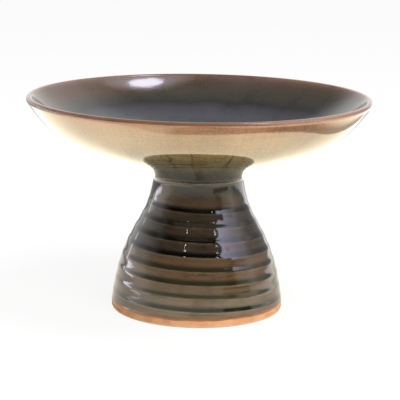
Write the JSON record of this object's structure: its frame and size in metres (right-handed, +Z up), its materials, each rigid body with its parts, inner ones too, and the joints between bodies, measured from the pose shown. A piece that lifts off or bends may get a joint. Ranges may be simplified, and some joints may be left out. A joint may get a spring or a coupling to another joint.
{
  "type": "footed plate",
  "caption": "Wide shallow stoneware dish on a hollow bell-shaped pedestal foot with a spiral of throwing ridges, glazed all over except the standing ring.",
  "frame": {"origin": "centre of the standing ring, on the plane that the foot rests on", "axes": "+Z up along the axis of the plate, -Y towards the viewer of the picture, +X to the right"},
  "size_m": [0.18, 0.18, 0.113],
  "materials": {
    "dish_glaze": "glossy ash glaze, olive tan outside and dark brown inside",
    "foot_glaze": "glossy dark iron glaze, brown over the ridges and blue-black where it pools",
    "bare_clay": "bare fired stoneware, dry orange buff"
  },
  "bodies": {
    "root": {"dish": "dish_glaze", "pedestal_foot": "foot_glaze", "luting_slip": "bare_clay", "outer_seam_fillet": "foot_glaze", "inner_seam_coil": "bare_clay"}
  },
  "joints": []
}
